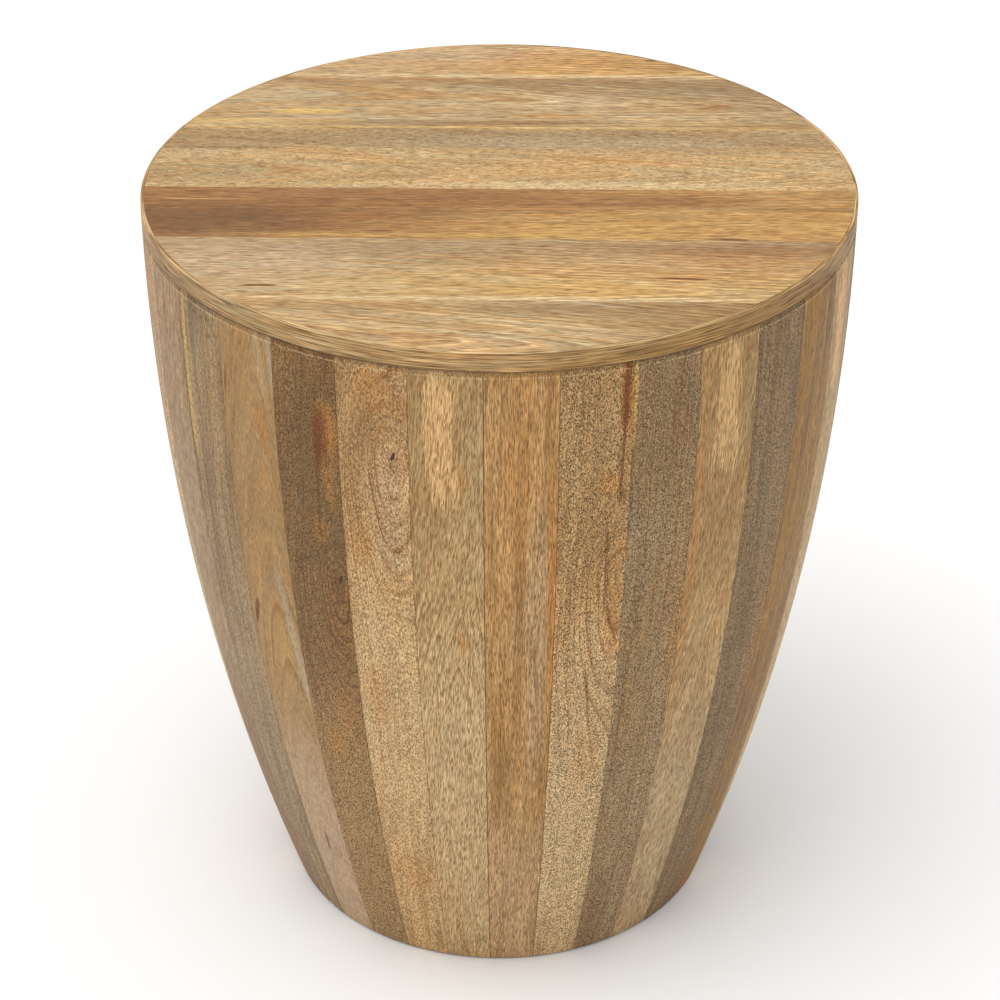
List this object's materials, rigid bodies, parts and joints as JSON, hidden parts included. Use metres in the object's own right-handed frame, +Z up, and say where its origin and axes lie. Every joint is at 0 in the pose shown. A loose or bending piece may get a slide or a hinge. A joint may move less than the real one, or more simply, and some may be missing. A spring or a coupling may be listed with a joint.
{
  "type": "round end table",
  "caption": "Round drum end table: a coopered wall of solid wood staves, turned to a curve that narrows to the foot, under a flat round top of edge-glued planks.",
  "frame": {"origin": "middle of the table on the floor, under the felt pads", "axes": "+Z up the axis of the drum; the planks of the top run along X; the front in the picture faces -Y"},
  "size_m": [0.45, 0.45, 0.51],
  "materials": {
    "stave_wood": "multi-tone hardwood staves, honey, straw and grey-brown, clear satin",
    "plank_wood": "multi-tone hardwood planks, straw to reddish brown, clear satin",
    "edge_band_wood": "hardwood strip with its grain round the rim, clear satin",
    "inner_wood": "plain sawn and planed hardwood, thin sealer",
    "screw_steel": "zinc plated, dull",
    "pad_felt": "dense dark brown wool felt"
  },
  "bodies": {
    "root": {"stave_01": "stave_wood", "stave_02": "stave_wood", "stave_03": "stave_wood", "stave_04": "stave_wood", "stave_05": "stave_wood", "stave_06": "stave_wood", "stave_07": "stave_wood", "stave_08": "stave_wood", "stave_09": "stave_wood", "stave_10": "stave_wood", "stave_11": "stave_wood", "stave_12": "stave_wood", "stave_13": "stave_wood", "stave_14": "stave_wood", "stave_15": "stave_wood", "stave_16": "stave_wood", "stave_17": "stave_wood", "stave_18": "stave_wood", "stave_19": "stave_wood", "stave_20": "stave_wood", "stave_21": "stave_wood", "stave_22": "stave_wood", "stave_23": "stave_wood", "stave_24": "stave_wood", "stave_25": "stave_wood", "stave_26": "stave_wood", "stave_27": "stave_wood", "stave_28": "stave_wood", "stave_29": "stave_wood", "stave_30": "stave_wood", "stave_31": "stave_wood", "stave_32": "stave_wood", "top_plank_1": "plank_wood", "top_plank_2": "plank_wood", "top_plank_3": "plank_wood", "top_plank_4": "plank_wood", "top_plank_5": "plank_wood", "top_plank_6": "plank_wood", "top_edge_band": "edge_band_wood", "top_ring_1": "inner_wood", "top_ring_2": "inner_wood", "top_ring_3": "inner_wood", "top_ring_4": "inner_wood", "top_ring_5": "inner_wood", "top_ring_6": "inner_wood", "top_ring_7": "inner_wood", "top_ring_8": "inner_wood", "base_ring_1": "inner_wood", "base_ring_2": "inner_wood", "base_ring_3": "inner_wood", "base_ring_4": "inner_wood", "base_ring_5": "inner_wood", "base_ring_6": "inner_wood", "base_ring_7": "inner_wood", "base_ring_8": "inner_wood", "top_batten_left": "inner_wood", "top_batten_right": "inner_wood", "ring_screws": "screw_steel", "floor_pads": "pad_felt"}
  },
  "joints": []
}
